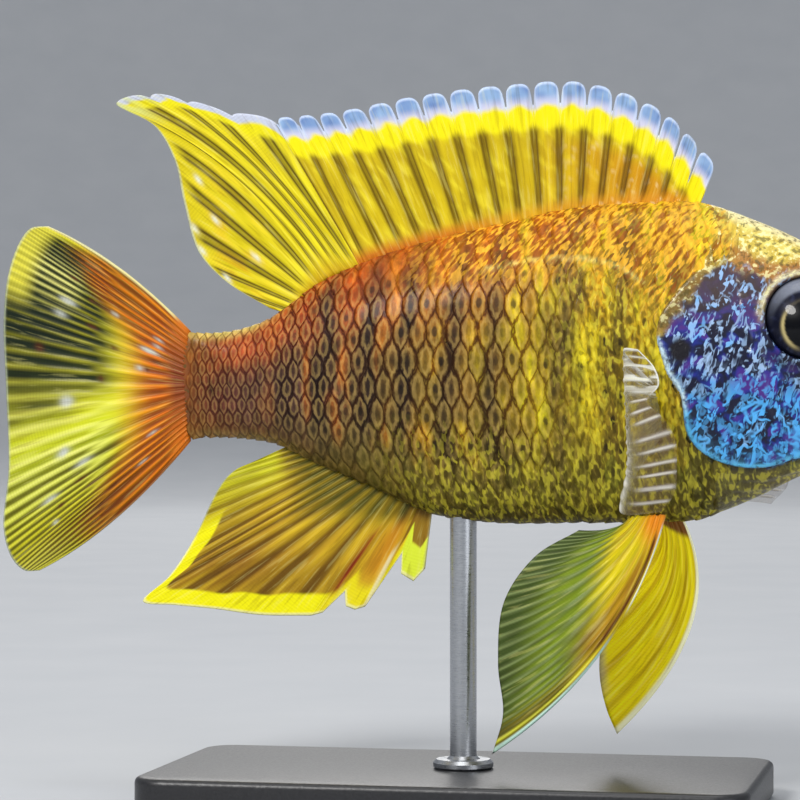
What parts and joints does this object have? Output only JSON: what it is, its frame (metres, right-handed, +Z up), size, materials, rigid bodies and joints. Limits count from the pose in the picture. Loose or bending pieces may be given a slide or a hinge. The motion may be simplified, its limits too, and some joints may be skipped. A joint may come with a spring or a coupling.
{
  "type": "peacock cichlid model",
  "caption": "Life-size still model of a male peacock cichlid with spread fins, held over a flat base by one rod.",
  "frame": {"origin": "centre of the whole model's outline, on the surface that the base stands on", "axes": "+X along the fish to the snout, +Y to the fish's left side, +Z up"},
  "size_m": [0.1445, 0.0529, 0.1078],
  "materials": {
    "head_skin": "glossy wet skin, navy with light blue marks",
    "body_skin": "glossy scaled skin, ochre and orange with dark bars",
    "fin_yellow": "satin fin membrane with rays",
    "fin_clear": "translucent fin membrane with pale rays",
    "eye": "polished",
    "stand_base": "satin black",
    "stand_rod": "satin"
  },
  "bodies": {
    "root": {"head": "head_skin", "lower_jaw": "head_skin", "gill_cover_right": "head_skin", "gill_cover_left": "head_skin", "trunk": "body_skin", "tail_stalk": "body_skin", "dorsal_fin": "fin_yellow", "anal_fin": "fin_yellow", "caudal_fin": "fin_yellow", "pelvic_fin_right": "fin_yellow", "pelvic_fin_left": "fin_yellow", "pectoral_fin_right": "fin_clear", "pectoral_fin_left": "fin_clear", "eye_right": "eye", "eye_left": "eye", "stand_base": "stand_base", "stand_rod": "stand_rod"}
  },
  "joints": []
}
